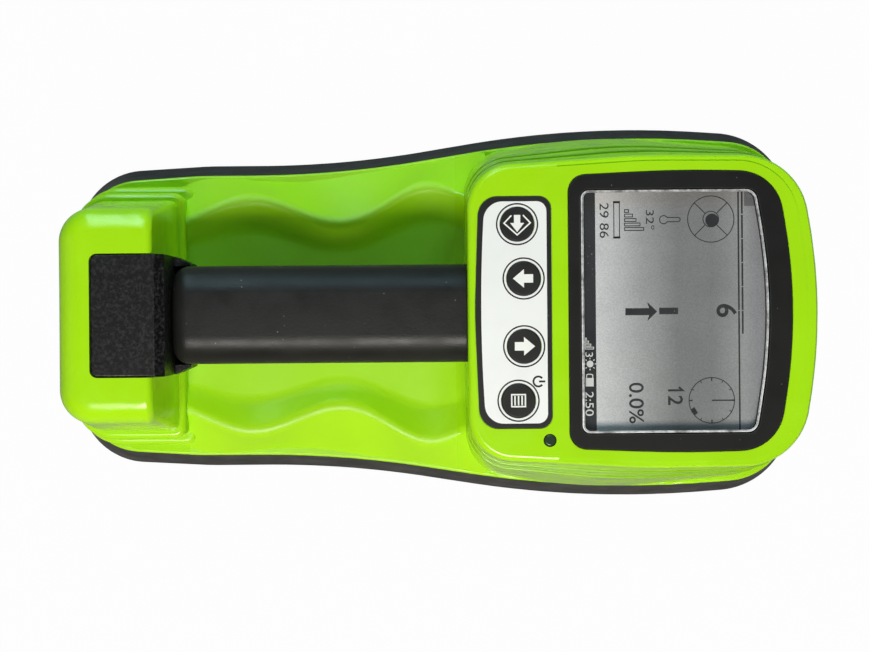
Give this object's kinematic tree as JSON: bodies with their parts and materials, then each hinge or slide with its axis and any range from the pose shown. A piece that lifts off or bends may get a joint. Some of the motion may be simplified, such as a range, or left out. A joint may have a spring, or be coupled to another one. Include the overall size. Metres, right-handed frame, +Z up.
{
  "type": "drill tracking locator",
  "caption": "Hand-carried locator with a wedge-sided display pod, keypad, hand pocket, carry handle and a slide-out battery pack in a flared base.",
  "frame": {"origin": "middle of the footprint on the floor, between the feet", "axes": "+X forward to the display end, +Y to the left of a person holding the handle, +Z up"},
  "size_m": [0.3545, 0.1826, 0.158],
  "materials": {
    "lime_plastic": "fine moulded texture",
    "black_plastic": "moulded texture",
    "block_plastic": "coarse sparkle texture",
    "grip_rubber": "fine speckled grain",
    "foot_rubber": "matte",
    "seal_rubber": "smooth",
    "screw_steel": "zinc plated",
    "knob_plastic": "fluted",
    "bezel_plastic": "satin",
    "window_glass": "clear",
    "lcd_face": "grey reflective",
    "backlight_plastic": "satin",
    "frame_metal": "bare sheet",
    "board_laminate": "solder mask",
    "contact_brass": "bright",
    "chip_plastic": "moulded",
    "overlay_film": "printed film",
    "key_plastic": "satin with a printed sign",
    "led_lens": "dark clear lens",
    "ferrite": "sintered",
    "winding_copper": "enamelled wire",
    "cell_wrap": "shrink wrap"
  },
  "bodies": {
    "chassis": {"lower_housing": "black_plastic", "rubber_feet": "foot_rubber", "housing_gasket": "seal_rubber", "upper_housing": "lime_plastic", "housing_screws": "screw_steel", "handle_core": "screw_steel", "handle_grip": "grip_rubber", "handle_washers": "screw_steel", "handle_nuts": "screw_steel", "end_block": "block_plastic", "telemetry_aerial": "board_laminate", "end_block_screws": "screw_steel", "display_bezel": "bezel_plastic", "display_window": "window_glass", "window_gasket": "seal_rubber", "lcd_panel": "lcd_face", "lcd_backlight": "backlight_plastic", "display_frame": "frame_metal", "display_screws": "screw_steel", "board_spacers": "contact_brass", "main_board": "board_laminate", "board_screws": "screw_steel", "beeper": "chip_plastic", "board_chips": "chip_plastic", "keypad_overlay": "overlay_film", "keypad_board": "board_laminate", "key_switches": "chip_plastic", "keypad_screws": "screw_steel", "status_led": "led_lens", "aerial_cradle": "black_plastic", "long_ferrite": "ferrite", "cross_ferrite": "ferrite", "upright_ferrite": "ferrite", "long_coil": "winding_copper", "cross_coil": "winding_copper", "upright_coil": "winding_copper", "cradle_screws": "screw_steel", "battery_bay": "black_plastic", "bay_terminals": "contact_brass"},
    "target_key": {"target_key": "key_plastic"},
    "back_key": {"back_key": "key_plastic"},
    "forward_key": {"forward_key": "key_plastic"},
    "menu_key": {"menu_key": "key_plastic"},
    "battery": {"battery_case": "black_plastic", "battery_cells": "cell_wrap", "battery_contacts": "contact_brass", "battery_cap": "black_plastic", "battery_seal": "seal_rubber"},
    "left_thumbscrew": {"left_thumbscrew": "knob_plastic", "left_screw_clip": "screw_steel"},
    "right_thumbscrew": {"right_thumbscrew": "knob_plastic", "right_screw_clip": "screw_steel"}
  },
  "joints": [
    {"name": "target_key_press", "type": "slide", "parent": "chassis", "child": "target_key", "axis": [0, 0, -1], "range_m": [0, 0.0007], "stiffness_N_per_m": 1000, "springref_m": -0.001},
    {"name": "back_key_press", "type": "slide", "parent": "chassis", "child": "back_key", "axis": [0, 0, -1], "range_m": [0, 0.0007], "stiffness_N_per_m": 1000, "springref_m": -0.001},
    {"name": "forward_key_press", "type": "slide", "parent": "chassis", "child": "forward_key", "axis": [0, 0, -1], "range_m": [0, 0.0007], "stiffness_N_per_m": 1000, "springref_m": -0.001},
    {"name": "menu_key_press", "type": "slide", "parent": "chassis", "child": "menu_key", "axis": [0, 0, -1], "range_m": [0, 0.0007], "stiffness_N_per_m": 1000, "springref_m": -0.001},
    {"name": "battery_slide", "type": "slide", "parent": "chassis", "child": "battery", "axis": [-1, 0, 0], "range_m": [0, 0.085]},
    {"name": "left_thumbscrew_turn", "type": "hinge", "parent": "battery", "child": "left_thumbscrew", "pos_m": [-0.175, 0.0395, 0.0255], "axis": [-1, 0, 0], "continuous": true},
    {"name": "right_thumbscrew_turn", "type": "hinge", "parent": "battery", "child": "right_thumbscrew", "pos_m": [-0.175, -0.0395, 0.0255], "axis": [-1, 0, 0], "continuous": true}
  ]
}
